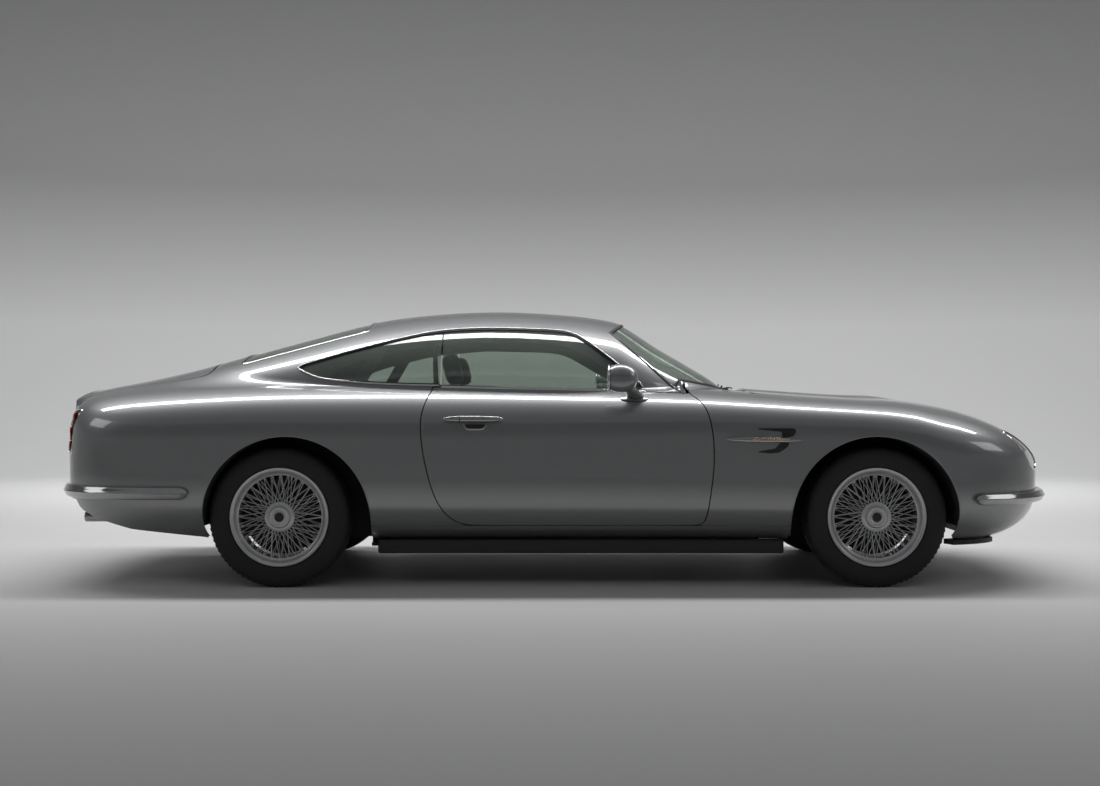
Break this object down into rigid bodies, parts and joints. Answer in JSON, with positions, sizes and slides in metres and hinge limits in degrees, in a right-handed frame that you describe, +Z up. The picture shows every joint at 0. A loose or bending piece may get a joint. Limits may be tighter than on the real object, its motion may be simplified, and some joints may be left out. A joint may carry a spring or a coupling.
{
  "type": "classic two-door grand touring coupe",
  "caption": "Classic fastback grand touring coupe with opening doors, bonnet and boot lid, steered front wheels and rolling wire wheels.",
  "frame": {"origin": "on the ground, mid-length on the centre line", "axes": "+X towards the nose, +Y to the car's left, +Z up"},
  "size_m": [4.7895, 1.9088, 1.3094],
  "materials": {
    "paint": "dark silver grey metallic, clear coat",
    "glass": "green grey tinted glass",
    "bright_trim": "polished bright trim",
    "black_trim": "black plastic",
    "lamp_glass": "clear lamp cover",
    "red_lamp": "red lens",
    "cast_alloy": "cast alloy",
    "cabin_trim": "black leather trim",
    "steering_rim": "varnished wood rim",
    "leather": "black leather",
    "chassis": "black painted steel",
    "exhaust_steel": "stainless steel",
    "bright_rim": "polished wire wheel",
    "tyre": "black rubber"
  },
  "bodies": {
    "root": {"underbody": "chassis", "sills": "paint", "front_wings": "paint", "rear_body": "paint", "roof": "paint", "nose_panel": "paint", "grille": "bright_trim", "tail_panel": "paint", "lower_trim": "black_trim", "bumpers": "bright_trim", "wheelhouses": "black_trim", "headlamps": "lamp_glass", "tail_lamps": "red_lamp", "windscreen": "glass", "rear_window": "glass", "quarter_windows": "glass", "cowl": "black_trim", "engine": "cast_alloy", "dashboard": "cabin_trim", "steering_wheel": "steering_rim", "front_seats": "leather", "rear_seat": "leather", "front_subframe": "chassis", "rear_axle": "chassis", "exhaust": "exhaust_steel", "hinge_posts": "chassis"},
    "bonnet": {"bonnet": "paint", "bonnet_hinges": "chassis"},
    "boot_lid": {"boot_lid": "paint", "boot_hinges": "chassis"},
    "door_right": {"door_right": "paint", "door_glass_right": "glass", "door_hinges_right": "chassis"},
    "door_left": {"door_left": "paint", "door_glass_left": "glass", "door_hinges_left": "chassis"},
    "knuckle_right": {"knuckle_right": "chassis"},
    "knuckle_left": {"knuckle_left": "chassis"},
    "wheel_front_right": {"wheel_front_right": "bright_rim", "tyre_front_right": "tyre"},
    "wheel_front_left": {"wheel_front_left": "bright_rim", "tyre_front_left": "tyre"},
    "wheel_rear_right": {"wheel_rear_right": "bright_rim", "tyre_rear_right": "tyre"},
    "wheel_rear_left": {"wheel_rear_left": "bright_rim", "tyre_rear_left": "tyre"}
  },
  "joints": [
    {"name": "bonnet_hinge", "type": "hinge", "parent": "root", "child": "bonnet", "pos_m": [2.213, 0, 0.67465], "axis": [0, 1, 0], "range_deg": [0, 50]},
    {"name": "boot_hinge", "type": "hinge", "parent": "root", "child": "boot_lid", "pos_m": [-1.653, 0, 1.0302], "axis": [0, 1, 0], "range_deg": [0, 55]},
    {"name": "door_right_hinge", "type": "hinge", "parent": "root", "child": "door_right", "pos_m": [0.64, -0.89629, 0.43], "axis": [0, 0, 1], "range_deg": [0, 60]},
    {"name": "door_left_hinge", "type": "hinge", "parent": "root", "child": "door_left", "pos_m": [0.64, 0.89629, 0.43], "axis": [0, 0, -1], "range_deg": [0, 60]},
    {"name": "steer_left", "type": "hinge", "parent": "root", "child": "knuckle_left", "pos_m": [1.46, 0.7455, 0.324], "axis": [0, 0, 1], "range_deg": [-32, 32]},
    {"name": "steer_right", "type": "hinge", "parent": "root", "child": "knuckle_right", "pos_m": [1.46, -0.7455, 0.324], "axis": [0, 0, 1], "range_deg": [-32, 32]},
    {"name": "front_right_roll", "type": "hinge", "parent": "knuckle_right", "child": "wheel_front_right", "pos_m": [1.46, -0.7775, 0.324], "axis": [0, 1, 0], "continuous": true},
    {"name": "front_left_roll", "type": "hinge", "parent": "knuckle_left", "child": "wheel_front_left", "pos_m": [1.46, 0.7775, 0.324], "axis": [0, 1, 0], "continuous": true},
    {"name": "rear_right_roll", "type": "hinge", "parent": "root", "child": "wheel_rear_right", "pos_m": [-1.292, -0.7775, 0.324], "axis": [0, 1, 0], "continuous": true},
    {"name": "rear_left_roll", "type": "hinge", "parent": "root", "child": "wheel_rear_left", "pos_m": [-1.292, 0.7775, 0.324], "axis": [0, 1, 0], "continuous": true}
  ],
  "couplings": [
    {"joint": "steer_right", "follows": "steer_left", "ratio": 1}
  ]
}
